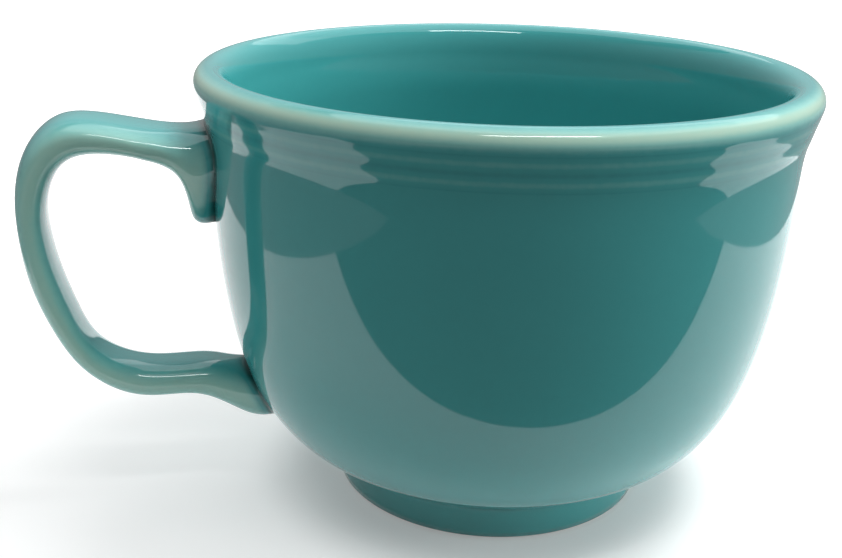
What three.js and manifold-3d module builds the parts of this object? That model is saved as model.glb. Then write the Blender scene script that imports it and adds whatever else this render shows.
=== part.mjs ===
// A wide ceramic coffee mug with a strap handle.
// The clay bowl is turned in one piece with its lip, its ring band and its foot ring. The handle is
// a clay strap of its own, stuck to the wall with slip at two joints. Glaze coats everything but the
// standing edge of the foot.
// Millimetres, +Z up. The mug stands on z = 0 with its handle towards -X, and the origin is the
// middle of its bounding box on the standing surface.

import * as THREE from 'three';
import { LoftGeometry } from 'three/addons/geometries/LoftGeometry.js';
import { mergeVertices } from 'three/addons/utils/BufferGeometryUtils.js';
import Module from 'manifold-3d';

// Bowl, in bare clay
const BOWL_HEIGHT = 84.9;
const RIM_RADIUS = 58.25;
const WALL_RADIUS = 56.25;
const WALL_LEAN = 1.4;
const WALL_THICKNESS = 4.6;
const FLOOR_THICKNESS = 6;
const FLOOR_ROUND = 12;
const BELLY_HEIGHT = 2.5;
const UNDERSIDE_RUN = 8.2;
const UNDERSIDE_RISE = 6;

// Foot ring, in bare clay
const FOOT_RADIUS = 31;
const FOOT_SPREAD = 0.8;
const FOOT_HEIGHT = 7.4;
const FOOT_RING_WIDTH = 5;
const FOOT_EDGE = 0.4;
const RECESS_DEPTH = 2.8;
const BARE_EDGE = 0.6;

// Lip and ring band, in bare clay
const LIP_THICKNESS = 4.9;
const LIP_ROUND = 2.5;
const LIP_INNER_ROUND = 2;
const LIP_COVE_ANGLE = 32;
const BAND_DEPTH = 10;
const BAND_RADIUS = 56.7;
const BAND_FLARE_DEPTH = 4;
const RING_COUNT = 2;
const RING_PITCH = 2.8;
const RING_LEAN = 0.3;
const RING_RELIEF = 0.2;

// Handle strap, in bare clay: heights are of the strap's middle, the reach is beyond the wall
const HANDLE_REACH = 34.4;
const UPPER_ARM_DROP = 12.3;
const LOWER_ARM_HEIGHT = 24.6;
const UPPER_ARM_THICKNESS = 6.4;
const STRAP_THICKNESS = 4.8;
const LOWER_ARM_THICKNESS = 6;
const UPPER_ARM_WIDTH = 17;
const LOWER_ARM_WIDTH = 11.6;
const UPPER_JOINT_WIDTH = 22;
const LOWER_JOINT_WIDTH = 14;
const UPPER_FLARE_DROP = 15;
const UPPER_FLARE_LENGTH = 11;
const UPPER_FLARE_LEDGE = 3.2;
const LOWER_FLARE_DROP = 5.4;
const LOWER_FLARE_LENGTH = 14.5;
const HANDLE_ROOT = 14;

// The bend of the strap's middle, as shares of its reach and of the rise between its two arms,
// and the shares of its length where the upper arm thins down and the lower arm thickens again
const BEND_SHARES = [
  [0.72, 1.01], [0.93, 0.9], [1, 0.73], [0.98, 0.54], [0.89, 0.31], [0.73, 0.12], [0.48, 0.015],
];
const THINNING_START = 0.2;
const THINNING_END = 0.5;
const THICKENING_START = 0.75;

// Joints and coats
const SLIP_THICKNESS = 0.5;
const SLIP_BEAD = 0.4;
const JOINT_GAP = 0.3;
const GLAZE_THICKNESS = 0.35;
const COAT_GAP = 0.15;

// Fineness of the facets
const TURN_STEPS = 32;
const BELLY_STEPS = 9;
const ROUND_STEPS = 4;
const STRAP_SIDES = 14;
const STRAP_STEPS = 16;
const FLARE_STEPS = 5;
const SECTION_POWER = 2.4;

// Colours and finish
const CLAY_COLOUR = 0xd9cbb4;
const SLIP_COLOUR = 0xcbbba2;
const GLAZE_COLOUR = 0x2f8f8e;
const BARE_ROUGHNESS = 0.8;
const GLAZE_ROUGHNESS = 0.1;

const { lerp, smoothstep, mapLinear, degToRad } = THREE.MathUtils;
const wasm = await Module();
wasm.setup();

// Solids: a closed three.js geometry becomes a manifold to cut, and comes back as a geometry

function toSolid(geometry) {
  const bare = new THREE.BufferGeometry();
  bare.setAttribute('position', geometry.attributes.position);
  bare.setIndex(geometry.index);
  const merged = mergeVertices(bare);
  const corners = merged.index.array;
  const triVerts = [];
  for (let i = 0; i < corners.length; i += 3) {
    const [a, b, c] = [corners[i], corners[i + 1], corners[i + 2]];
    if (a !== b && b !== c && c !== a) {
      triVerts.push(a, b, c);
    }
  }
  return new wasm.Manifold(new wasm.Mesh({
    numProp: 3,
    vertProperties: new Float32Array(merged.attributes.position.array),
    triVerts: new Uint32Array(triVerts),
  }));
}

function toGeometry(solid) {
  const mesh = solid.getMesh();
  const geometry = new THREE.BufferGeometry();
  geometry.setAttribute('position', new THREE.BufferAttribute(mesh.vertProperties, 3));
  geometry.setIndex(new THREE.BufferAttribute(mesh.triVerts, 1));
  geometry.computeVertexNormals();
  return geometry;
}

// Turned shapes: a profile holds points (radius, height), with the clay on the left of its run

function turn(profile) {
  const geometry = new THREE.LatheGeometry(profile, TURN_STEPS);
  geometry.rotateX(Math.PI / 2);
  return toSolid(geometry);
}

function point(radius, height) {
  return new THREE.Vector2(radius, height);
}

function arc(centre, radius, fromDegrees, toDegrees) {
  const points = [];
  for (let i = 0; i <= ROUND_STEPS; i += 1) {
    const angle = degToRad(lerp(fromDegrees, toDegrees, i / ROUND_STEPS));
    points.push(point(centre.x + radius * Math.cos(angle), centre.y + radius * Math.sin(angle)));
  }
  return points;
}

// The profile moved to its right by a distance, mitred at its corners
function offset(profile, distance) {
  const sides = profile.slice(1).map((end, i) => {
    const run = end.clone().sub(profile[i]).normalize();
    return point(run.y, -run.x);
  });
  return profile.map((corner, i) => {
    const before = sides[Math.max(i - 1, 0)];
    const after = sides[Math.min(i, sides.length - 1)];
    const mitre = before.clone().add(after).multiplyScalar(1 / (1 + before.dot(after)));
    const moved = corner.clone().addScaledVector(mitre, distance);
    return corner.x === 0 ? point(0, moved.y) : moved;
  });
}

// A coat of glaze along a profile, as one closed ring of section
function coatAlong(profile) {
  const inside = offset(profile, COAT_GAP);
  const outside = offset(profile, COAT_GAP + GLAZE_THICKNESS);
  return turn([...outside, ...inside.reverse(), outside[0]]);
}

// Bowl profile, from the middle of the underside to the middle of the floor

const bandFoot = BOWL_HEIGHT - BAND_DEPTH;
const wallTop = point(WALL_RADIUS, bandFoot - BAND_FLARE_DEPTH);
const footTop = point(FOOT_RADIUS + FOOT_SPREAD, FOOT_HEIGHT);
const bellyCurve = new THREE.CubicBezierCurve(
  footTop,
  point(footTop.x + UNDERSIDE_RUN, footTop.y + UNDERSIDE_RISE),
  point(WALL_RADIUS - WALL_LEAN, footTop.y + BELLY_HEIGHT),
  wallTop,
);
const belly = bellyCurve.getSpacedPoints(BELLY_STEPS);

const ringBand = [point(BAND_RADIUS, bandFoot)];
for (let ring = 0; ring < RING_COUNT; ring += 1) {
  const foot = bandFoot + ring * RING_PITCH;
  const radius = BAND_RADIUS + ring * RING_LEAN;
  ringBand.push(point(radius + RING_LEAN / 2 + RING_RELIEF, foot + RING_PITCH / 2));
  ringBand.push(point(radius + RING_LEAN, foot + RING_PITCH));
}

const lipOutside = arc(
  point(RIM_RADIUS - LIP_ROUND, BOWL_HEIGHT - LIP_ROUND), LIP_ROUND, -LIP_COVE_ANGLE, 90,
);
const lipInside = arc(
  point(RIM_RADIUS - LIP_THICKNESS + LIP_INNER_ROUND, BOWL_HEIGHT - LIP_INNER_ROUND),
  LIP_INNER_ROUND, 90, 180,
);

const floorHeight = RECESS_DEPTH + FLOOR_THICKNESS;
const wallInside = offset([...belly, ringBand[0]], -WALL_THICKNESS)
  .filter((corner) => corner.y > floorHeight + WALL_THICKNESS)
  .reverse();
const wallInsideFoot = wallInside[wallInside.length - 1];
const floorCurve = new THREE.QuadraticBezierCurve(
  wallInsideFoot,
  point(wallInsideFoot.x - WALL_THICKNESS, floorHeight),
  point(wallInsideFoot.x - WALL_THICKNESS - FLOOR_ROUND, floorHeight),
);
const floor = [...floorCurve.getPoints(ROUND_STEPS).slice(1), point(0, floorHeight)];

const footInner = FOOT_RADIUS - FOOT_RING_WIDTH;
const underside = [point(0, RECESS_DEPTH), point(footInner - RECESS_DEPTH, RECESS_DEPTH)];
const footRing = [
  point(footInner, FOOT_EDGE),
  point(footInner + FOOT_EDGE, 0),
  point(FOOT_RADIUS - FOOT_EDGE, 0),
  point(FOOT_RADIUS, FOOT_EDGE),
];
const outside = [point(FOOT_RADIUS, BARE_EDGE), ...belly, ...ringBand];
const coated = [...outside, ...lipOutside, ...lipInside, ...wallInside, ...floor];

const cupBody = turn([...underside, ...footRing, ...coated]);

// Everything that the wall's outside holds in, out to a distance from the clay
function wallPlug(distance) {
  const side = offset(outside, distance);
  return turn([point(0, side[0].y), ...side, point(0, side[side.length - 1].y)]);
}

// The outside radius of the clay at a height
function wallRadiusAt(height) {
  const above = outside.findIndex((corner) => corner.y > height);
  const [low, high] = [outside[above - 1], outside[above]];
  return mapLinear(height, low.y, high.y, low.x, high.x);
}

// Handle sections, from the root in the wall at the top to the root at the bottom.
// Each has an outer and an inner edge in the handle's own plane (distance from the axis, height).

const upperArmHeight = BOWL_HEIGHT - UPPER_ARM_DROP;
const bendReach = WALL_RADIUS + HANDLE_REACH - STRAP_THICKNESS / 2;
const upperStart = WALL_RADIUS + UPPER_FLARE_LEDGE + UPPER_FLARE_LENGTH;
const lowerWall = wallRadiusAt(LOWER_ARM_HEIGHT);
const lowerStart = lowerWall + LOWER_FLARE_LENGTH;

function strapPath() {
  const bend = BEND_SHARES.map(([out, up]) => point(
    lerp(WALL_RADIUS, bendReach, out),
    lerp(LOWER_ARM_HEIGHT, upperArmHeight, up),
  ));
  return new THREE.SplineCurve([
    point(upperStart, upperArmHeight),
    ...bend,
    point(lowerStart, LOWER_ARM_HEIGHT),
  ]);
}

function strapThickness(share) {
  const thinned = smoothstep(share, THINNING_START, THINNING_END);
  const thickened = smoothstep(share, THICKENING_START, 1);
  const upper = lerp(UPPER_ARM_THICKNESS, STRAP_THICKNESS, thinned);
  return lerp(upper, LOWER_ARM_THICKNESS, thickened);
}

function edges(outer, inner, width) {
  return { outer, inner, width };
}

function handleEdges() {
  const list = [];
  const armTop = upperArmHeight + UPPER_ARM_THICKNESS / 2;
  const armUnder = upperArmHeight - UPPER_ARM_THICKNESS / 2;
  const tip = armUnder - UPPER_FLARE_DROP;
  const rootRadius = WALL_RADIUS - HANDLE_ROOT;
  list.push(edges(point(rootRadius, armTop), point(rootRadius, tip), UPPER_JOINT_WIDTH));
  for (let i = 0; i < FLARE_STEPS; i += 1) {
    const angle = (Math.PI / 2) * (i / FLARE_STEPS);
    const radius = upperStart - UPPER_FLARE_LENGTH * Math.cos(angle);
    const inner = point(radius, tip + UPPER_FLARE_DROP * Math.sin(angle));
    const width = lerp(UPPER_JOINT_WIDTH, UPPER_ARM_WIDTH, Math.sin(angle));
    list.push(edges(point(radius, armTop), inner, width));
  }
  const path = strapPath();
  for (let i = 0; i <= STRAP_STEPS; i += 1) {
    const share = i / STRAP_STEPS;
    const middle = path.getPointAt(share);
    const run = path.getTangentAt(share);
    const half = point(-run.y, run.x).multiplyScalar(strapThickness(share) / 2);
    const width = lerp(UPPER_ARM_WIDTH, LOWER_ARM_WIDTH, share);
    list.push(edges(middle.clone().add(half), middle.clone().sub(half), width));
  }
  const lowerTop = LOWER_ARM_HEIGHT + LOWER_ARM_THICKNESS / 2;
  const lowerUnder = LOWER_ARM_HEIGHT - LOWER_ARM_THICKNESS / 2;
  for (let i = 1; i <= FLARE_STEPS; i += 1) {
    const share = i / FLARE_STEPS;
    const radius = lowerStart - LOWER_FLARE_LENGTH * share;
    const under = lowerUnder - LOWER_FLARE_DROP * share * share;
    const width = lerp(LOWER_ARM_WIDTH, LOWER_JOINT_WIDTH, share);
    list.push(edges(point(radius, under), point(radius, lowerTop), width));
  }
  const lowerRoot = lowerWall - HANDLE_ROOT;
  const lowerTip = lowerUnder - LOWER_FLARE_DROP;
  list.push(edges(point(lowerRoot, lowerTip), point(lowerRoot, lowerTop), LOWER_JOINT_WIDTH));
  return list;
}

// One oval section of the strap, grown on every side by a distance
function strapSection({ outer, inner, width }, grow) {
  const middle = outer.clone().add(inner).multiplyScalar(0.5);
  const half = outer.clone().sub(middle);
  half.setLength(half.length() + grow);
  const corners = [];
  for (let i = 0; i < STRAP_SIDES; i += 1) {
    const angle = (2 * Math.PI * i) / STRAP_SIDES;
    const across = Math.sign(Math.cos(angle)) * Math.abs(Math.cos(angle)) ** (2 / SECTION_POWER);
    const along = Math.sign(Math.sin(angle)) * Math.abs(Math.sin(angle)) ** (2 / SECTION_POWER);
    const place = middle.clone().addScaledVector(half, across);
    corners.push(new THREE.Vector3(-place.x, along * (width / 2 + grow), place.y));
  }
  return corners;
}

const handleStations = handleEdges();

function strap(grow) {
  const sections = handleStations.map((station) => strapSection(station, grow));
  return toSolid(new LoftGeometry(sections, { capStart: true, capEnd: true }));
}

// The handle ends on a seat clear of the wall, and slip fills the gap there. The two rings of slip
// are parted half way between the arms.

const handleSeat = wallPlug(2 * JOINT_GAP + SLIP_THICKNESS);
const handle = strap(0).subtract(handleSeat);

const slipRings = strap(SLIP_BEAD)
  .intersect(wallPlug(JOINT_GAP + SLIP_THICKNESS))
  .subtract(wallPlug(JOINT_GAP));
const betweenArms = (upperArmHeight + LOWER_ARM_HEIGHT) / 2;
const upperSlip = slipRings.trimByPlane([0, 0, 1], betweenArms);
const lowerSlip = slipRings.trimByPlane([0, 0, -1], -betweenArms);

// Coats of glaze: the handle's coat stops at its seat, the body's coat leaves the joints open

const coat = COAT_GAP + GLAZE_THICKNESS;
const handleGlaze = strap(coat).subtract(strap(COAT_GAP)).subtract(handleSeat);
const jointOpenings = strap(coat + JOINT_GAP).subtract(wallPlug(0));
const bodyGlaze = coatAlong(coated).subtract(jointOpenings);
const baseGlaze = coatAlong(underside);

// The mug as a group of named pieces

function piece(name, solid, colour, roughness) {
  const material = new THREE.MeshStandardMaterial({ color: colour, roughness, metalness: 0 });
  const mesh = new THREE.Mesh(toGeometry(solid), material);
  mesh.name = name;
  return mesh;
}

const mug = new THREE.Group();
mug.add(
  piece('cup_body', cupBody, CLAY_COLOUR, BARE_ROUGHNESS),
  piece('handle', handle, CLAY_COLOUR, BARE_ROUGHNESS),
  piece('upper_slip_joint', upperSlip, SLIP_COLOUR, BARE_ROUGHNESS),
  piece('lower_slip_joint', lowerSlip, SLIP_COLOUR, BARE_ROUGHNESS),
  piece('body_glaze', bodyGlaze, GLAZE_COLOUR, GLAZE_ROUGHNESS),
  piece('handle_glaze', handleGlaze, GLAZE_COLOUR, GLAZE_ROUGHNESS),
  piece('base_glaze', baseGlaze, GLAZE_COLOUR, GLAZE_ROUGHNESS),
);

const box = new THREE.Box3().setFromObject(mug);
mug.position.x = -(box.min.x + box.max.x) / 2;
mug.position.y = -(box.min.y + box.max.y) / 2;

export default mug;
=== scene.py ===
import math

import bpy
from mathutils import Matrix, Vector


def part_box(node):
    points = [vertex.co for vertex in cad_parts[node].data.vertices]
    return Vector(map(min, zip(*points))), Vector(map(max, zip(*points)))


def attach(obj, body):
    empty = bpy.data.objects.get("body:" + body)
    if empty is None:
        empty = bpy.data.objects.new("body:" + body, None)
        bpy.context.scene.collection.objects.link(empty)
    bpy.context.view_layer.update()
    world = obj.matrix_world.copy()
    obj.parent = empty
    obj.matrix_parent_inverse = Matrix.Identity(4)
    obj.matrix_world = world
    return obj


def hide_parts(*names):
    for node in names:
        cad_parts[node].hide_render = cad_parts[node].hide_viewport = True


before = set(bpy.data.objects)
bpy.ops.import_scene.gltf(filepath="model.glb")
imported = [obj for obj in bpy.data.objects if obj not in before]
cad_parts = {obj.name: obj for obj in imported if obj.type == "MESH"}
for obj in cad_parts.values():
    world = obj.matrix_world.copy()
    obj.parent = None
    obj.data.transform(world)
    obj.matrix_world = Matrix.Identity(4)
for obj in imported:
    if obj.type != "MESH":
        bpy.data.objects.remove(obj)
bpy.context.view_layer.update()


# View: the mug is seen from a little above its rim, with its handle at the left.
# The camera stands off the cup's axis. Lengths are in millimetres, and MM makes them metres.

MM = 0.001
CAMERA_DISTANCE = 216.4
CAMERA_HEIGHT = 120.57
CAMERA_AROUND = math.radians(-106)
CAMERA_HEADING = math.radians(78)
CAMERA_PITCH = math.radians(-20.26)
CAMERA_ROLL = math.radians(1.33)
CAMERA_LENS = 48.03
CAMERA_CLIP = 10

clay_low, clay_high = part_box("cup_body")
CLAY_RADIUS = (clay_high.y - clay_low.y) / 2 / MM
AXIS_X = clay_high.x / MM - CLAY_RADIUS

camera = bpy.data.objects.new("camera", bpy.data.cameras.new("camera"))
bpy.context.scene.collection.objects.link(camera)
camera.data.lens = CAMERA_LENS
camera.data.clip_start = CAMERA_CLIP * MM
camera.matrix_world = (
    Matrix.Translation(Vector((
        AXIS_X + CAMERA_DISTANCE * math.cos(CAMERA_AROUND),
        CAMERA_DISTANCE * math.sin(CAMERA_AROUND),
        CAMERA_HEIGHT,
    )) * MM)
    @ Matrix.Rotation(CAMERA_HEADING - math.pi / 2, 4, "Z")
    @ Matrix.Rotation(math.pi / 2 + CAMERA_PITCH, 4, "X")
    @ Matrix.Rotation(CAMERA_ROLL, 4, "Z")
)
bpy.context.scene.camera = camera


# Clay cup: a wide bowl of fired clay, turned in one piece with its foot ring, a band of two low
# rings and a rounded lip. Only the standing edge of the foot stays bare.

CLAY_HEIGHT = clay_high.z / MM
FOOT_RADIUS = 31.0
FOOT_RING_WIDTH = 5.0
FOOT_EDGE = 0.4
BARE_EDGE = 0.4
RECESS_DEPTH = 2.8
FOOT_SIDE = (31.1, 3.6)
FOOT_NECK = (31.4, 5.8)
FOOT_TOP = (31.7, 7.4)
UNDERSIDE_CORNER = (41.1, 14.0)
BELLY_CORNER = (54.8, 12.9)
WALL_TOP = (55.8, 70.0)
BAND_KNEE = (55.9, 73.6)
BAND_LEAN = math.radians(15.5)
BAND_HEIGHT = 6.4
RING_COUNT = 2
RING_RELIEF = 0.025
LIP_ROUND = 2.45
LIP_INNER_CORNER = (52.8, CLAY_HEIGHT)
LIP_INNER_FOOT = (52.2, 78.5)
WALL_THICKNESS = 4.6
FLOOR_HEIGHT = 8.8
FLOOR_ROUND = 12.0

# How many short runs make up each stretch of the profile, and where the crease meets the belly
TURN_STEPS = 240
FOOT_STEPS = 6
EDGE_STEPS = 5
BELLY_STEPS = 60
CREASE_END = 3
FLARE_STEPS = 12
BAND_STEPS = 28
LIP_STEPS = 20
LIP_INNER_STEPS = 16
THROAT_STEPS = 8
FLOOR_STEPS = 12
WELD_DISTANCE = 0.001

CLAY = (0.66, 0.56, 0.42)
CLAY_DARK = (0.52, 0.42, 0.30)
CLAY_ROUGHNESS = 0.85
GRAIN_SCALE = 900.0
GRAIN_DETAIL = 6.0
GRAIN_ROUGHNESS = 0.7
GRAIN_DARK_AT = 0.35
GRAIN_PALE_AT = 0.65
GRAIN_STRENGTH = 0.4
GRAIN_RELIEF = 0.1


def curve(corners, steps):
    """Points along a Bezier curve of any degree."""
    points = []
    for i in range(steps + 1):
        level = [Vector(corner) for corner in corners]
        while len(level) > 1:
            level = [a.lerp(b, i / steps) for a, b in zip(level, level[1:])]
        points.append(level[0])
    return points


def arc(centre, radius, start, end, steps):
    """Points along an arc of a circle."""
    angles = [start + (end - start) * i / steps for i in range(steps + 1)]
    return [Vector(centre) + radius * Vector((math.cos(a), math.sin(a))) for a in angles]


def offset(points, distance):
    """A profile moved to its right by a distance, with points on the axis kept there."""
    moved = []
    for i, here in enumerate(points):
        run = (points[min(i + 1, len(points) - 1)] - points[max(i - 1, 0)]).normalized()
        place = here + distance * Vector((run.y, -run.x))
        moved.append(Vector((0, place.y)) if here.x == 0 else place)
    return moved


def ring_band(foot, top, steps):
    """The band under the lip: a line that leans out, with low rings on it."""
    points = []
    for i in range(steps + 1):
        wave = (1 - math.cos(2 * math.pi * RING_COUNT * i / steps)) / 2
        points.append(foot.lerp(top, i / steps) + Vector((RING_RELIEF * wave, 0)))
    return points


belly = curve([FOOT_TOP, UNDERSIDE_CORNER, BELLY_CORNER, WALL_TOP], BELLY_STEPS)
crease = curve([FOOT_NECK, FOOT_TOP, belly[CREASE_END]], FOOT_STEPS)
foot_side = curve([(FOOT_RADIUS, BARE_EDGE), FOOT_SIDE, FOOT_NECK], FOOT_STEPS)
lip_centre = Vector((CLAY_RADIUS - LIP_ROUND, CLAY_HEIGHT - LIP_ROUND))
lip_outside = arc(lip_centre, LIP_ROUND, -BAND_LEAN, math.pi / 2, LIP_STEPS)
band_top = lip_outside[0]
band_foot = band_top - BAND_HEIGHT * Vector((math.tan(BAND_LEAN), 1))
flare = curve([WALL_TOP, BAND_KNEE, band_foot], FLARE_STEPS)
band = ring_band(band_foot, band_top, BAND_STEPS)
lip_inside = curve([lip_outside[-1], LIP_INNER_CORNER, LIP_INNER_FOOT], LIP_INNER_STEPS)
wall_inside = [p for p in offset(belly, -WALL_THICKNESS) if p.y > FLOOR_HEIGHT + WALL_THICKNESS]
wall_inside.reverse()
throat_corner = (wall_inside[0].x, BAND_KNEE[1])
throat = curve([LIP_INNER_FOOT, throat_corner, wall_inside[0]], THROAT_STEPS)
corner = wall_inside[-1]
floor_edge = (corner.x - WALL_THICKNESS, FLOOR_HEIGHT)
floor_flat = (floor_edge[0] - FLOOR_ROUND, FLOOR_HEIGHT)
bowl_floor = curve([corner, floor_edge, floor_flat], FLOOR_STEPS)

outside = foot_side[:-1] + crease[:-1] + belly[CREASE_END:-1] + flare[:-1] + band[:-1]
inside = throat[1:-1] + wall_inside[:-1] + bowl_floor + [Vector((0, FLOOR_HEIGHT))]
coated = outside + lip_outside + lip_inside[1:] + inside
foot_inner = FOOT_RADIUS - FOOT_RING_WIDTH
recess_edge = foot_inner - RECESS_DEPTH
recess_corners = [(recess_edge, RECESS_DEPTH), (foot_inner, RECESS_DEPTH), (foot_inner, FOOT_EDGE)]
inner_edge = (foot_inner + FOOT_EDGE, FOOT_EDGE)
outer_edge = (FOOT_RADIUS - FOOT_EDGE, FOOT_EDGE)
foot_ring = (
    curve(recess_corners, FOOT_STEPS)
    + arc(inner_edge, FOOT_EDGE, math.pi, 1.5 * math.pi, EDGE_STEPS)[1:]
    + arc(outer_edge, FOOT_EDGE, 1.5 * math.pi, 2 * math.pi, EDGE_STEPS)[:-1]
)


def add_node(tree, kind, values=(), **settings):
    """A node with its settings and the values of its inputs."""
    node = tree.nodes.new(kind)
    for key, value in settings.items():
        setattr(node, key, value)
    for key, value in dict(values).items():
        node.inputs[key].default_value = value
    return node


def shape_tree(name, inputs):
    """A Geometry Nodes tree, the identifiers of its inputs and the node that gives them."""
    tree = bpy.data.node_groups.new(name, "GeometryNodeTree")
    identifiers = {}
    for label, kind in inputs:
        socket = tree.interface.new_socket(label, in_out="INPUT", socket_type=kind)
        identifiers[label] = socket.identifier
    tree.interface.new_socket("Shape", in_out="OUTPUT", socket_type="NodeSocketGeometry")
    return tree, identifiers, add_node(tree, "NodeGroupInput")


def finish_shape(tree, swept, sizes):
    """The end of a shape's tree: the swept mesh gets smooth faces and its surface."""
    smooth = add_node(tree, "GeometryNodeSetShadeSmooth")
    realize = add_node(tree, "GeometryNodeRealizeInstances")
    paint = add_node(tree, "GeometryNodeSetMaterial")
    result = add_node(tree, "NodeGroupOutput")
    for source, target in (
        (swept, smooth.inputs["Geometry"]),
        (smooth.outputs["Geometry"], realize.inputs["Geometry"]),
        (realize.outputs["Geometry"], paint.inputs["Geometry"]),
        (sizes.outputs["Surface"], paint.inputs["Material"]),
        (paint.outputs["Geometry"], result.inputs["Shape"]),
    ):
        tree.links.new(source, target)


turning, turning_inputs, sizes = shape_tree("turned_on_the_wheel", (
    ("Profile", "NodeSocketGeometry"), ("Steps", "NodeSocketInt"), ("Rail Radius", "NodeSocketFloat"),
    ("Axis", "NodeSocketVector"), ("Surface", "NodeSocketMaterial"),
))
profile_curve = add_node(turning, "GeometryNodeMeshToCurve")
rail = add_node(turning, "GeometryNodeCurvePrimitiveCircle")
sweep = add_node(turning, "GeometryNodeCurveToMesh")
centred = add_node(turning, "GeometryNodeSetPosition")
weld = add_node(turning, "GeometryNodeMergeByDistance", {"Distance": WELD_DISTANCE * MM})
for source, target in (
    (sizes.outputs["Profile"], profile_curve.inputs["Mesh"]),
    (sizes.outputs["Steps"], rail.inputs["Resolution"]),
    (sizes.outputs["Rail Radius"], rail.inputs["Radius"]),
    (rail.outputs["Curve"], sweep.inputs["Curve"]),
    (profile_curve.outputs["Curve"], sweep.inputs["Profile Curve"]),
    (sweep.outputs["Mesh"], centred.inputs["Geometry"]),
    (sizes.outputs["Axis"], centred.inputs["Offset"]),
    (centred.outputs["Geometry"], weld.inputs["Geometry"]),
):
    turning.links.new(source, target)
finish_shape(turning, weld.outputs["Geometry"], sizes)


def bake(piece):
    """Turns what the modifiers of a piece make into its plain mesh."""
    graph = bpy.context.evaluated_depsgraph_get()
    mesh = bpy.data.meshes.new_from_object(piece.evaluated_get(graph))
    piece.modifiers.clear()
    piece.data = mesh
    mesh.name = piece.name
    return piece


def turned_piece(name, profile, depths, surface):
    """A closed piece turned round the cup's axis, from the axis on top to the axis underneath."""
    mesh = bpy.data.meshes.new(name)
    points = [((p.x - CLAY_RADIUS) * MM, -p.y * MM, 0) for p in profile]
    mesh.from_pydata(points, [(i, i + 1) for i in range(len(points) - 1)], [])
    if depths:
        depth = mesh.attributes.new("glaze_depth", "FLOAT", "POINT")
        depth.data.foreach_set("value", depths)
    piece = bpy.data.objects.new(name, mesh)
    bpy.context.scene.collection.objects.link(piece)
    wheel = piece.modifiers.new("wheel", "NODES")
    wheel.node_group = turning
    wheel[turning_inputs["Steps"]] = TURN_STEPS
    wheel[turning_inputs["Rail Radius"]] = CLAY_RADIUS * MM
    wheel[turning_inputs["Axis"]] = (AXIS_X * MM, 0.0, 0.0)
    wheel[turning_inputs["Surface"]] = surface
    return bake(piece)


def new_material(name):
    """A node material with nothing in it but its output."""
    material = bpy.data.materials.new(name)
    material.use_nodes = True
    material.node_tree.nodes.clear()
    return material, material.node_tree, material.node_tree.nodes.new("ShaderNodeOutputMaterial")


def clay_material():
    """Bare fired clay: fine, matte, with a grain that shows in colour and in relief."""
    material, tree, output = new_material("bare_clay")
    link = tree.links.new
    where = add_node(tree, "ShaderNodeTexCoord")
    grain = add_node(tree, "ShaderNodeTexNoise", {
        "Scale": GRAIN_SCALE, "Detail": GRAIN_DETAIL, "Roughness": GRAIN_ROUGHNESS,
    })
    tint = add_node(tree, "ShaderNodeValToRGB")
    dark, pale = tint.color_ramp.elements
    dark.position = GRAIN_DARK_AT
    dark.color = (*CLAY_DARK, 1)
    pale.position = GRAIN_PALE_AT
    pale.color = (*CLAY, 1)
    relief = add_node(tree, "ShaderNodeBump", {"Strength": GRAIN_STRENGTH, "Distance": GRAIN_RELIEF * MM})
    body = add_node(tree, "ShaderNodeBsdfPrincipled", {"Roughness": CLAY_ROUGHNESS})
    link(where.outputs["Object"], grain.inputs["Vector"])
    link(grain.outputs["Fac"], tint.inputs["Fac"])
    link(grain.outputs["Fac"], relief.inputs["Height"])
    link(tint.outputs["Color"], body.inputs["Base Color"])
    link(relief.outputs["Normal"], body.inputs["Normal"])
    link(body.outputs["BSDF"], output.inputs["Surface"])
    return material


bare_clay = clay_material()
clay_profile = coated[::-1] + foot_ring[::-1] + [Vector((0, RECESS_DEPTH))]
clay_cup = turned_piece("clay_cup", clay_profile, None, bare_clay)
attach(clay_cup, "root")
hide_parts("cup_body")


# Body glaze: a glossy turquoise coat over the bowl, inside and out, fired onto the clay.
# It runs thin and pale on the shoulder of the lip, and lies a little deeper between the rings.

COAT_GAP = 0.15
COAT = 0.35
BACK_STEP = 3
LIP_THIN = 0.8
LIP_SHOULDER = math.radians(34)
LIP_SPREAD = math.radians(32)
RING_POOL = 0.18
CREASE_POOL = 0.3

# A depth of 1 is an even coat. The colours run from no depth to DEEPEST, in shares of it.
DEEPEST = 2
GLAZE_RAMP = (
    (0.0, (0.56, 0.68, 0.52)),
    (0.12, (0.44, 0.69, 0.57)),
    (0.25, (0.29, 0.63, 0.57)),
    (0.46, (0.064, 0.385, 0.387)),
    (0.56, (0.055, 0.360, 0.364)),
    (0.78, (0.015, 0.140, 0.135)),
    (1.0, (0.008, 0.035, 0.030)),
)
GLAZE_IOR = 1.62
ROUGHNESS_LEAST = 0.03
ROUGHNESS_MOST = 0.07
FLOW_SCALE = 45.0
FLOW_DETAIL = 3.0
FLOW_SHARE = 0.16
MOTTLE_SCALE = 700.0
MOTTLE_DETAIL = 4.0
MOTTLE_SHARE = 0.10
RIPPLE_SCALE = 160.0
RIPPLE_DETAIL = 2.0
RIPPLE_STRENGTH = 0.05
RIPPLE_RELIEF = 0.1


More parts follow.
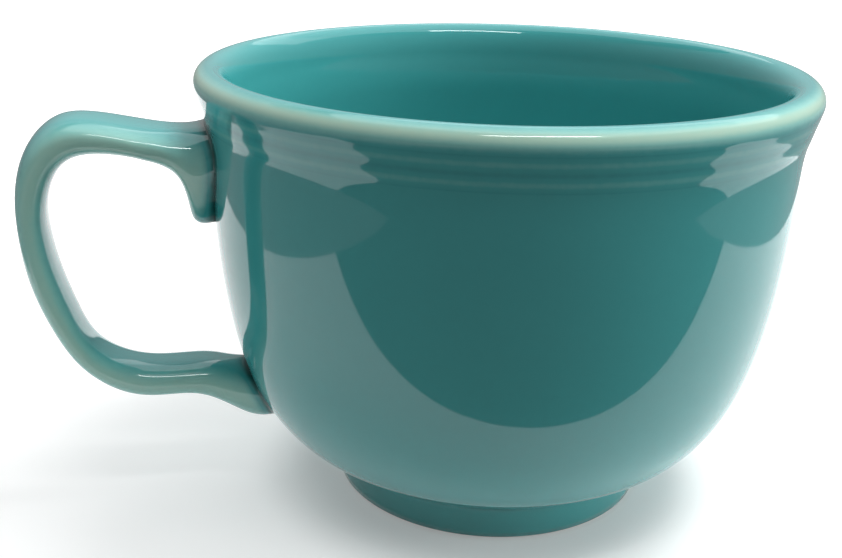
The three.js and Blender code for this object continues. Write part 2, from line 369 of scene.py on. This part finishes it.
def glaze_material(name):
    """Glossy glaze: its colour follows the depth of the coat, which wanders a little."""
    material, tree, output = new_material(name)
    link = tree.links.new
    where = add_node(tree, "ShaderNodeTexCoord")
    depth = add_node(tree, "ShaderNodeAttribute", attribute_name="glaze_depth")
    flow = add_node(tree, "ShaderNodeTexNoise", {"Scale": FLOW_SCALE, "Detail": FLOW_DETAIL})
    mottle = add_node(tree, "ShaderNodeTexNoise", {"Scale": MOTTLE_SCALE, "Detail": MOTTLE_DETAIL})
    ripple = add_node(tree, "ShaderNodeTexNoise", {"Scale": RIPPLE_SCALE, "Detail": RIPPLE_DETAIL})
    flow_share = add_node(tree, "ShaderNodeMath", {1: FLOW_SHARE}, operation="MULTIPLY_ADD")
    mottle_share = add_node(tree, "ShaderNodeMath", {1: MOTTLE_SHARE}, operation="MULTIPLY_ADD")
    middle = (FLOW_SHARE + MOTTLE_SHARE) / 2
    evened = add_node(tree, "ShaderNodeMath", {1: middle}, operation="SUBTRACT")
    ramp_share = add_node(tree, "ShaderNodeMath", {1: 1 / DEEPEST}, operation="MULTIPLY")
    tint = add_node(tree, "ShaderNodeValToRGB")
    stops = tint.color_ramp.elements
    for position, _ in GLAZE_RAMP[1:-1]:
        stops.new(position)
    for stop, (_, colour) in zip(stops, GLAZE_RAMP):
        stop.color = (*colour, 1)
    gloss = add_node(tree, "ShaderNodeMapRange", {"To Min": ROUGHNESS_LEAST, "To Max": ROUGHNESS_MOST})
    relief = add_node(tree, "ShaderNodeBump", {"Strength": RIPPLE_STRENGTH, "Distance": RIPPLE_RELIEF * MM})
    coat = add_node(tree, "ShaderNodeBsdfPrincipled", {"IOR": GLAZE_IOR})
    for noise in (flow, mottle, ripple):
        link(where.outputs["Object"], noise.inputs["Vector"])
    link(flow.outputs["Fac"], flow_share.inputs[0])
    link(depth.outputs["Fac"], flow_share.inputs[2])
    link(mottle.outputs["Fac"], mottle_share.inputs[0])
    link(flow_share.outputs["Value"], mottle_share.inputs[2])
    link(mottle_share.outputs["Value"], evened.inputs[0])
    link(evened.outputs["Value"], ramp_share.inputs[0])
    link(ramp_share.outputs["Value"], tint.inputs["Fac"])
    link(tint.outputs["Color"], coat.inputs["Base Color"])
    link(mottle.outputs["Fac"], gloss.inputs["Value"])
    link(gloss.outputs["Result"], coat.inputs["Roughness"])
    link(ripple.outputs["Fac"], relief.inputs["Height"])
    link(relief.outputs["Normal"], coat.inputs["Normal"])
    link(coat.outputs["BSDF"], output.inputs["Surface"])
    return material


def outside_depth(point):
    """The coat's depth on the outside: it pools in the crease of the foot and beside the rings."""
    in_crease = math.exp(-(point.y - FOOT_TOP[1]) ** 2)
    share = (point.y - band_foot.y) / BAND_HEIGHT
    in_band = RING_POOL * math.cos(2 * math.pi * RING_COUNT * share) if share > 0 else 0
    return 1 + CREASE_POOL * in_crease + in_band


def lip_depth(point):
    """The coat's depth round the lip: thinnest on the shoulder, where the lip turns outwards."""
    angle = math.atan2(point.y - lip_centre.y, point.x - lip_centre.x)
    return 1 - LIP_THIN * math.exp(-((angle - LIP_SHOULDER) / LIP_SPREAD) ** 2)


depths = [outside_depth(p) for p in outside] + [lip_depth(p) for p in lip_outside + lip_inside[1:]]
depths += [1.0] * len(inside)
coat_face = offset(coated, COAT_GAP + COAT)
coat_back = offset(coated, COAT_GAP)
coat_back = coat_back[:-1:BACK_STEP] + coat_back[-1:]
body_glaze = turned_piece(
    "body_coat", coat_face[::-1] + coat_back, depths[::-1] + [1.0] * len(coat_back),
    glaze_material("turquoise_body_glaze"),
)
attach(body_glaze, "root")
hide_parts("body_glaze")


# Base glaze: the same coat in the shallow recess under the cup, inside the bare foot ring.
# It is brushed in before the foot is wiped clean.

BASE_STEPS = 8

base_top = RECESS_DEPTH - COAT_GAP
base_low = base_top - COAT
base_outline = [Vector((0, base_top)), Vector((recess_edge, base_top))]
base_outline += curve([(recess_edge, base_top), (recess_edge, base_low), (0, base_low)], BASE_STEPS)
base_outline += [Vector((0, base_low))]
base_glaze = turned_piece(
    "base_coat", base_outline, [1.0] * len(base_outline), glaze_material("turquoise_base_glaze"),
)
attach(base_glaze, "root")
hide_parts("base_glaze")


# Handle: a pulled strap of the same clay, stuck to the wall at both ends and coated all round.
# It swells into a long tongue on the wall at the top and into a short one at the bottom.

# Outer and inner edge of the strap, from the upper joint to the lower one, as distance from the
# cup's axis and height, and half the strap's width at the same places
OUTER_RAIL = (
    (56.9, 75.3), (60.0, 74.5), (65.9, 74.9), (71.2, 75.9), (77.0, 77.1), (83.1, 77.4), (88.6, 72.7),
    (91.1, 65.9), (91.7, 58.3), (90.7, 47.2), (87.7, 38.3), (83.0, 28.4), (74.4, 22.0), (67.0, 21.5),
    (59.1, 22.2), (50.0, 15.0), (45.0, 16.3),
)
INNER_RAIL = (
    (55.7, 55.9), (60.9, 55.2), (60.4, 66.2), (67.7, 69.5), (74.8, 70.7), (81.0, 70.3), (84.3, 66.4),
    (85.8, 61.6), (86.3, 57.0), (85.2, 48.8), (82.0, 38.6), (79.3, 31.7), (71.5, 28.1), (64.6, 27.9),
    (58.0, 28.2), (54.6, 27.2), (50.5, 26.2),
)
HALF_WIDTHS = (12.4, 11.0, 9.7, 9.2, 8.8, 8.5, 8.2, 8.0, 7.7, 7.4, 7.0, 6.6, 6.3, 6.2, 6.3, 6.9, 8.2)
TONGUE_TAPER = 0.82
TAPER_POWER = 1.3
TONGUE_LENGTH = 3
STRAP_SIDES = 48
RAIL_STEPS = 8
SECTION_POWER = 2.5
JOINT_SINK = 0.2
LIP_FOOT_POINTS = 8

finished_wall = offset(outside + lip_outside[:LIP_FOOT_POINTS], COAT_GAP + COAT)


def wall_radius(height):
    """The outside radius of the glazed cup at a height."""
    for low, high in zip(finished_wall, finished_wall[1:]):
        if low.y <= height <= high.y:
            return low.x + (high.x - low.x) * (height - low.y) / (high.y - low.y)
    return finished_wall[-1].x


def along(corners):
    """A run of points that follows corners smoothly, as a cubic spline from the first to the last."""
    corners = [2 * corners[0] - corners[1]] + corners + [2 * corners[-1] - corners[-2]]
    points = []
    for a, b, c, d in zip(corners, corners[1:], corners[2:], corners[3:]):
        ends = ((a + 4 * b + c) / 6, (2 * b + c) / 3, (b + 2 * c) / 3, (b + 4 * c + d) / 6)
        points += curve(ends, RAIL_STEPS)[:-1]
    return points + [corners[-2]]


def rounded(value):
    """A sine or a cosine pushed outwards, which rounds the strap's section like a soft brick."""
    return math.copysign(abs(value) ** (2 / SECTION_POWER), value)


def strap_rings():
    """Rings of points round the strap, from the upper joint to the lower one."""
    outer_points = along([Vector((x, w, z)) for (x, z), w in zip(OUTER_RAIL, HALF_WIDTHS)])
    inner_points = along([Vector((x, w, z)) for (x, z), w in zip(INNER_RAIL, HALF_WIDTHS)])
    last = len(outer_points) - 1
    rings = []
    for i, (outer, inner) in enumerate(zip(outer_points, inner_points)):
        middle = (outer + inner) / 2
        half = (outer - inner) / 2
        half.y = 0
        near = max(1 - min(i, last - i) / (TONGUE_LENGTH * RAIL_STEPS), 0)
        taper = TONGUE_TAPER * max(1 - i / (TONGUE_LENGTH * RAIL_STEPS), 0)
        chord = [wall_radius((middle + side * half).z) for side in (-1, 1)]
        ring = []
        for k in range(STRAP_SIDES):
            angle = 2 * math.pi * k / STRAP_SIDES
            across = rounded(math.cos(angle))
            lateral = rounded(math.sin(angle)) * middle.y
            lateral *= 1 - taper * ((1 - across) / 2) ** TAPER_POWER
            spot = middle + half * across
            wall = math.sqrt((wall_radius(spot.z) - JOINT_SINK) ** 2 - lateral ** 2)
            bow = wall - chord[0] - (chord[1] - chord[0]) * (across + 1) / 2
            ring.append(Vector((AXIS_X - spot.x - near * bow, lateral, spot.z)) * MM)
        rings.append(ring)
    return rings


def inset_rings(rings, depth):
    """The rings moved into the strap by a depth, square to its surface."""
    last = len(rings) - 1
    moved = []
    for i, ring in enumerate(rings):
        before = rings[max(i - 1, 0)]
        after = rings[min(i + 1, last)]
        row = []
        for k, point in enumerate(ring):
            round_it = ring[(k + 1) % STRAP_SIDES] - ring[k - 1]
            outward = round_it.cross(after[k] - before[k]).normalized()
            row.append(point - depth * MM * outward)
        moved.append(row)
    return moved


def tube_faces(first, rings, flip):
    """Faces of a tube through rings of points, from the number of its first point."""
    faces = []
    for i in range(rings - 1):
        for k in range(STRAP_SIDES):
            a = first + i * STRAP_SIDES + k
            b = first + i * STRAP_SIDES + (k + 1) % STRAP_SIDES
            face = (a, b, b + STRAP_SIDES, a + STRAP_SIDES)
            faces.append(face[::-1] if flip else face)
    return faces


def mesh_piece(name, points, faces, surface):
    """A smooth piece from points and faces."""
    mesh = bpy.data.meshes.new(name)
    mesh.from_pydata(points, [], faces)
    mesh.polygons.foreach_set("use_smooth", [True] * len(faces))
    mesh.materials.append(surface)
    piece = bpy.data.objects.new(name, mesh)
    bpy.context.scene.collection.objects.link(piece)
    return piece


face_rings = strap_rings()
core_rings = inset_rings(face_rings, COAT_GAP + COAT)
core_points = [point for ring in core_rings for point in ring]
core_faces = tube_faces(0, len(core_rings), False)
core_faces.append(tuple(reversed(range(STRAP_SIDES))))
core_faces.append(tuple(range(len(core_points) - STRAP_SIDES, len(core_points))))
clay_handle = mesh_piece("clay_handle", core_points, core_faces, bare_clay)
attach(clay_handle, "root")
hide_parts("handle")


# Handle glaze: the same coat all round the strap, fired on together with the bowl's.
# It wears thin and pale on the strap's edges. At the two joints it is painted dark, partly pooled glaze and
# partly painted shade of the crease.

STRAP_DEPTH = 1.05
EDGE_THIN = 0.68
JOINT_POOL_AND_SHADE = 0.85
POOL_AND_SHADE_REACH = 0.35

back_rings = inset_rings(face_rings, COAT)
skin_points = [point for ring in face_rings + back_rings for point in ring]
half_count = len(skin_points) // 2
skin_faces = tube_faces(0, len(face_rings), False) + tube_faces(half_count, len(face_rings), True)
for first in (0, half_count - STRAP_SIDES):
    for k in range(STRAP_SIDES):
        a = first + k
        b = first + (k + 1) % STRAP_SIDES
        end = (b, a, a + half_count, b + half_count)
        skin_faces.append(end if first == 0 else end[::-1])
handle_glaze = mesh_piece(
    "handle_coat", skin_points, skin_faces, glaze_material("turquoise_handle_glaze"),
)
strap_depths = []
for i in range(len(face_rings)):
    stations = min(i, len(face_rings) - 1 - i) / RAIL_STEPS
    # Near each joint the coat is painted darker: pooled glaze and painted shade of the crease together.
    pool_and_shade = JOINT_POOL_AND_SHADE * math.exp(-(stations / POOL_AND_SHADE_REACH) ** 2)
    for k in range(STRAP_SIDES):
        edge = math.sin(2 * math.pi * k / STRAP_SIDES) ** 2
        strap_depths.append(STRAP_DEPTH - EDGE_THIN * edge * (1 - pool_and_shade) + pool_and_shade)
depth = handle_glaze.data.attributes.new("glaze_depth", "FLOAT", "POINT")
depth.data.foreach_set("value", strap_depths + [1.0] * half_count)
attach(handle_glaze, "root")
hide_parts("handle_glaze")


# Slip joints: liquid clay that sticks the two ends of the handle to the wall, drawn out to a small
# fillet round each end. The fillet is painted nearly black: partly glaze pooled deep in it, partly painted
# shade of the crease.

FILLET_RISE = 0.5
FILLET_WIDTH = 1.7
FILLET_ROOT = 0.4
FILLET_FOOT = 0.02
FILLET_STEPS = 7
TIP_SCALE = 0.6
TIP_HEIGHT = 3.0
SLOPE_REACH = 0.5

# Depth of the coat round the fillet's section, from the strap over the hollow to the wall and back; the
# deep values darken it as pooled glaze and as painted shade of the crease
FILLET_POOL_AND_SHADE_DEPTHS = (1.6, 1.75, 1.85, 1.8, 1.65, 1.45, 1.2, 1.0, 1.0, 1.6)

fillet_top = (JOINT_SINK + FILLET_RISE, -FILLET_ROOT / 2)
fillet_foot = (JOINT_SINK - FILLET_FOOT, FILLET_WIDTH)
fillet_profile = curve([fillet_top, (JOINT_SINK, 0), fillet_foot], FILLET_STEPS)
fillet_profile += [Vector((-FILLET_ROOT, FILLET_WIDTH)), Vector((-FILLET_ROOT, -FILLET_ROOT))]

seam, seam_inputs, seam_sizes = shape_tree("fillet_along_a_joint", (
    ("Path And Profile", "NodeSocketGeometry"), ("Surface", "NodeSocketMaterial"),
))
seam_marks = {}
for name, kind in (
    ("is_profile", "BOOLEAN"), ("off_the_wall", "FLOAT_VECTOR"), ("fillet_scale", "FLOAT"),
):
    seam_marks[name] = add_node(seam, "GeometryNodeInputNamedAttribute", {"Name": name}, data_type=kind)
seam_parts = add_node(seam, "GeometryNodeSeparateGeometry")
seam_path = add_node(seam, "GeometryNodeMeshToCurve")
seam_round = add_node(seam, "GeometryNodeMeshToCurve")
seam_normal = add_node(seam, "GeometryNodeSetCurveNormal", mode="FREE")
seam_sweep = add_node(seam, "GeometryNodeCurveToMesh")
for source, target in (
    (seam_sizes.outputs["Path And Profile"], seam_parts.inputs["Geometry"]),
    (seam_marks["is_profile"].outputs["Attribute"], seam_parts.inputs["Selection"]),
    (seam_parts.outputs["Selection"], seam_round.inputs["Mesh"]),
    (seam_parts.outputs["Inverted"], seam_path.inputs["Mesh"]),
    (seam_path.outputs["Curve"], seam_normal.inputs["Curve"]),
    (seam_marks["off_the_wall"].outputs["Attribute"], seam_normal.inputs["Normal"]),
    (seam_normal.outputs["Curve"], seam_sweep.inputs["Curve"]),
    (seam_round.outputs["Curve"], seam_sweep.inputs["Profile Curve"]),
    (seam_marks["fillet_scale"].outputs["Attribute"], seam_sweep.inputs["Scale"]),
):
    seam.links.new(source, target)
finish_shape(seam, seam_sweep.outputs["Mesh"], seam_sizes)


def loop_edges(first, count):
    """Edges that close a loop of points."""
    return [(first + i, first + (i + 1) % count) for i in range(count)]


def off_the_wall(point):
    """The direction straight off the cup's wall at a point."""
    height = point.z / MM
    rise = wall_radius(height + SLOPE_REACH) - wall_radius(height - SLOPE_REACH)
    out = Vector((point.x - AXIS_X * MM, point.y, 0)).normalized()
    return (out - Vector((0, 0, rise / (2 * SLOPE_REACH)))).normalized()


# The fillet's dark glaze is partly pooled glaze and partly painted shade of the crease.
pooled_glaze_and_shade = glaze_material("pooled_glaze_and_painted_shade_seam")
for name, ring in (("upper_slip_joint", face_rings[0]), ("lower_slip_joint", face_rings[-1][::-1])):
    path = bpy.data.meshes.new(name)
    profile_points = [Vector((p.x, p.y, 0)) * MM for p in fillet_profile]
    edges = loop_edges(0, len(ring)) + loop_edges(len(ring), len(profile_points))
    path.from_pydata(ring + profile_points, edges, [])
    # Each attribute is filled before the next is made, because making one moves the others
    mark = path.attributes.new("is_profile", "BOOLEAN", "POINT")
    mark.data.foreach_set("value", [False] * len(ring) + [True] * len(profile_points))
    lean = path.attributes.new("off_the_wall", "FLOAT_VECTOR", "POINT")
    for i, point in enumerate(ring):
        lean.data[i].vector = off_the_wall(point)
    size = path.attributes.new("fillet_scale", "FLOAT", "POINT")
    tip = min(point.z for point in ring)
    for i, point in enumerate(ring):
        above_tip = (point.z - tip) / (TIP_HEIGHT * MM)
        size.data[i].value = min(1, TIP_SCALE + (1 - TIP_SCALE) * above_tip)
    joint = bpy.data.objects.new(name + "_fillet", path)
    bpy.context.scene.collection.objects.link(joint)
    bead = joint.modifiers.new("fillet", "NODES")
    bead.node_group = seam
    bead[seam_inputs["Surface"]] = pooled_glaze_and_shade
    bake(joint)
    depth = joint.data.attributes.new("glaze_depth", "FLOAT", "POINT")
    depth.data.foreach_set("value", FILLET_POOL_AND_SHADE_DEPTHS * len(ring))
    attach(joint, "root")
    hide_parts(name)


# Stage: a plain pale floor under a wide soft light, with a thin strip light in front above the cup, a
# softbox over its right and a weak fill low at the right. A dim room closes round it for the gloss to
# mirror, and dim cards lie on the floor round the cup. The camera looks past the room and the cards.

FLOOR_SIZE = 3000
FLOOR_BOUNCE = (0.94, 0.94, 0.94)
FLOOR_SEEN = (0.65, 0.65, 0.65)
FLOOR_GLOW_NEAR = 0.48
FLOOR_GLOW_FAR = 0.9
# The floor's glow is dimmed round the foot between these radii, a painted contact shadow.
CONTACT_SHADOW_GLOW = 0.5
CONTACT_SHADOW_NEAR = 34
CONTACT_SHADOW_FAR = 52
SHADOW_NEAR = 130
SHADOW_FAR = 320
STAGE_TURN = math.radians(-3.5)
FRONT_CARD_FROM = 80
LEFT_CARD_FROM = 180
RIGHT_CARD_FROM = 205
FRONT_CARD_GLOW = 0.15
LEFT_CARD_GLOW = 0.36
RIGHT_CARD_GLOW = 0.45
CARD_LIFT = 0.5
ROOM_REACH = 1400
ROOM_HEIGHT = 1300
ROOM_SIDES = 64
ROOM_GLOW = 0.38
ROOM_RIGHT = 0.04
ROOM_BACK = 0.22
ROOM_LOW = 0.5
ROOM_HIGH = 1.3
CEILING_GLOW = 0.2
WHITE = (1, 1, 1, 1)


def seen_rays(tree):
    """One where a ray comes from the camera, a mirror or clear glass, and nought elsewhere."""
    path = add_node(tree, "ShaderNodeLightPath")
    first = add_node(tree, "ShaderNodeMath", operation="MAXIMUM")
    second = add_node(tree, "ShaderNodeMath", operation="MAXIMUM")
    tree.links.new(path.outputs["Is Camera Ray"], first.inputs[0])
    tree.links.new(path.outputs["Is Glossy Ray"], first.inputs[1])
    tree.links.new(first.outputs["Value"], second.inputs[0])
    tree.links.new(path.outputs["Is Transmission Ray"], second.inputs[1])
    return second.outputs["Value"]


def pale_floor():
    """Pale matte floor that keeps a shadow and glows to white away from the cup, with a painted contact
    shadow: its glow is dimmed in a ring round the foot.
    """
    material, tree, output = new_material("pale_floor")
    link = tree.links.new
    seen = seen_rays(tree)
    blend = add_node(tree, "ShaderNodeMix", data_type="RGBA")
    blend.inputs["A"].default_value = (*FLOOR_BOUNCE, 1)
    blend.inputs["B"].default_value = (*FLOOR_SEEN, 1)
    surface = add_node(tree, "ShaderNodeBsdfDiffuse")
    where = add_node(tree, "ShaderNodeTexCoord")
    from_axis = add_node(tree, "ShaderNodeVectorMath", {1: (AXIS_X * MM, 0, 0)}, operation="SUBTRACT")
    reach = add_node(tree, "ShaderNodeVectorMath", operation="LENGTH")
    fade = add_node(tree, "ShaderNodeMapRange", {
        "From Min": SHADOW_NEAR * MM, "From Max": SHADOW_FAR * MM,
        "To Min": FLOOR_GLOW_NEAR, "To Max": FLOOR_GLOW_FAR,
    }, interpolation_type="SMOOTHSTEP")
    # Painted contact shadow: less glow close round the foot.
    painted_contact_shadow = add_node(tree, "ShaderNodeMapRange", {
        "From Min": CONTACT_SHADOW_NEAR * MM, "From Max": CONTACT_SHADOW_FAR * MM, "To Min": CONTACT_SHADOW_GLOW,
    }, interpolation_type="SMOOTHSTEP")
    both = add_node(tree, "ShaderNodeMath", operation="MULTIPLY")
    level = add_node(tree, "ShaderNodeMath", operation="MULTIPLY")
    glow = add_node(tree, "ShaderNodeEmission", {"Color": WHITE})
    whole = add_node(tree, "ShaderNodeAddShader")
    link(seen, blend.inputs["Factor"])
    link(blend.outputs["Result"], surface.inputs["Color"])
    link(where.outputs["Object"], from_axis.inputs[0])
    link(from_axis.outputs["Vector"], reach.inputs[0])
    link(reach.outputs["Value"], fade.inputs["Value"])
    link(reach.outputs["Value"], painted_contact_shadow.inputs["Value"])
    link(fade.outputs["Result"], both.inputs[0])
    link(painted_contact_shadow.outputs["Result"], both.inputs[1])
    link(seen, level.inputs[0])
    link(both.outputs["Value"], level.inputs[1])
    link(level.outputs["Value"], glow.inputs["Strength"])
    link(surface.outputs["BSDF"], whole.inputs[0])
    link(glow.outputs["Emission"], whole.inputs[1])
    link(whole.outputs["Shader"], output.inputs["Surface"])
    return material


def level_sheet(name, low, high, height, surface):
    """A level stage sheet between two opposite corners, turned a little about the cup's axis."""
    turn = Matrix.Rotation(STAGE_TURN, 4, "Z")
    corners = [
        (low[0], low[1], height), (high[0], low[1], height),
        (high[0], high[1], height), (low[0], high[1], height),
    ]
    points = [(turn @ Vector(corner) + Vector((AXIS_X, 0, 0))) * MM for corner in corners]
    sheet = mesh_piece(name, points, [(0, 1, 2, 3)], surface)
    return sheet


def glowing(name, strength):
    """A plain surface that glows evenly."""
    material, tree, output = new_material(name)
    light = add_node(tree, "ShaderNodeEmission", {"Color": WHITE, "Strength": strength})
    tree.links.new(light.outputs["Emission"], output.inputs["Surface"])
    return material


def dim_room():
    """A wall that glows dimly, a little more to the right, to the back and above."""
    material, tree, output = new_material("dim_room")
    link = tree.links.new
    where = add_node(tree, "ShaderNodeTexCoord")
    parts = add_node(tree, "ShaderNodeSeparateXYZ")
    right_share = ROOM_RIGHT / (ROOM_REACH * MM)
    back_share = ROOM_BACK / (ROOM_REACH * MM)
    sideways = add_node(tree, "ShaderNodeMath", {1: right_share, 2: ROOM_GLOW}, operation="MULTIPLY_ADD")
    backwards = add_node(tree, "ShaderNodeMath", {1: back_share}, operation="MULTIPLY_ADD")
    upwards = add_node(tree, "ShaderNodeMapRange", {
        "From Max": ROOM_HEIGHT / 2 * MM, "To Min": ROOM_LOW, "To Max": ROOM_HIGH,
    })
    strength = add_node(tree, "ShaderNodeMath", operation="MULTIPLY")
    light = add_node(tree, "ShaderNodeEmission", {"Color": WHITE})
    link(where.outputs["Object"], parts.inputs["Vector"])
    link(parts.outputs["X"], sideways.inputs[0])
    link(parts.outputs["Y"], backwards.inputs[0])
    link(sideways.outputs["Value"], backwards.inputs[2])
    link(parts.outputs["Z"], upwards.inputs["Value"])
    link(backwards.outputs["Value"], strength.inputs[0])
    link(upwards.outputs["Result"], strength.inputs[1])
    link(strength.outputs["Value"], light.inputs["Strength"])
    link(light.outputs["Emission"], output.inputs["Surface"])
    return material


level_sheet("floor", (-FLOOR_SIZE, -FLOOR_SIZE), (FLOOR_SIZE, FLOOR_SIZE), 0, pale_floor())

for name, low, high, strength in (
    ("front_card", (-LEFT_CARD_FROM, -ROOM_REACH), (RIGHT_CARD_FROM, -FRONT_CARD_FROM), FRONT_CARD_GLOW),
    ("left_card", (-ROOM_REACH, -ROOM_REACH), (-LEFT_CARD_FROM, ROOM_REACH), LEFT_CARD_GLOW),
    ("right_card", (RIGHT_CARD_FROM, -ROOM_REACH), (ROOM_REACH, ROOM_REACH), RIGHT_CARD_GLOW),
):
    card = level_sheet(name, low, high, CARD_LIFT, glowing(name, strength))
    card.visible_camera = False
    card.visible_shadow = False

room_points = []
for height in (0, ROOM_HEIGHT):
    for k in range(ROOM_SIDES):
        angle = 2 * math.pi * k / ROOM_SIDES
        x = ROOM_REACH * math.cos(angle)
        y = ROOM_REACH * math.sin(angle)
        room_points.append(Vector((x, y, height)) * MM)
room_faces = []
for k in range(ROOM_SIDES):
    after = (k + 1) % ROOM_SIDES
    room_faces.append((k, after, ROOM_SIDES + after, ROOM_SIDES + k))
room = mesh_piece("dim_room", room_points, room_faces, dim_room())
room.visible_camera = False
ceiling = level_sheet(
    "ceiling", (-ROOM_REACH, -ROOM_REACH), (ROOM_REACH, ROOM_REACH), ROOM_HEIGHT,
    glowing("ceiling", CEILING_GLOW),
)
ceiling.visible_camera = False

world = bpy.data.worlds.new("white_backdrop")
bpy.context.scene.world = world
world.use_nodes = True
world.node_tree.nodes["Background"].inputs["Color"].default_value = WHITE


def softbox(name, place, width, length, power):
    """A soft light that faces the cup. Where it hangs in front, its width runs from left to right."""
    light = bpy.data.objects.new(name, bpy.data.lights.new(name, "AREA"))
    bpy.context.scene.collection.objects.link(light)
    light.data.shape = "RECTANGLE"
    light.data.size = width * MM
    light.data.size_y = length * MM
    light.data.energy = power
    light.location = (Vector(place) + Vector((AXIS_X, 0, 0))) * MM
    aim = Vector((0, 0, CLAY_HEIGHT / 2)) - Vector(place)
    light.rotation_euler = aim.to_track_quat("-Z", "Y").to_euler()
    return light


softbox("wide_softbox", place=(250, 250, 900), width=1300, length=1300, power=6.4)
softbox("strip_light", place=(40, -330, 800), width=420, length=60, power=1.2)
side = softbox("side_softbox", place=(300, 0, 850), width=300, length=300, power=3.3)
side.visible_glossy = False
fill = softbox("fill_light", place=(846, -243, 227), width=400, length=400, power=2.7)
fill.visible_glossy = False

bpy.context.scene.view_settings.view_transform = "Standard"
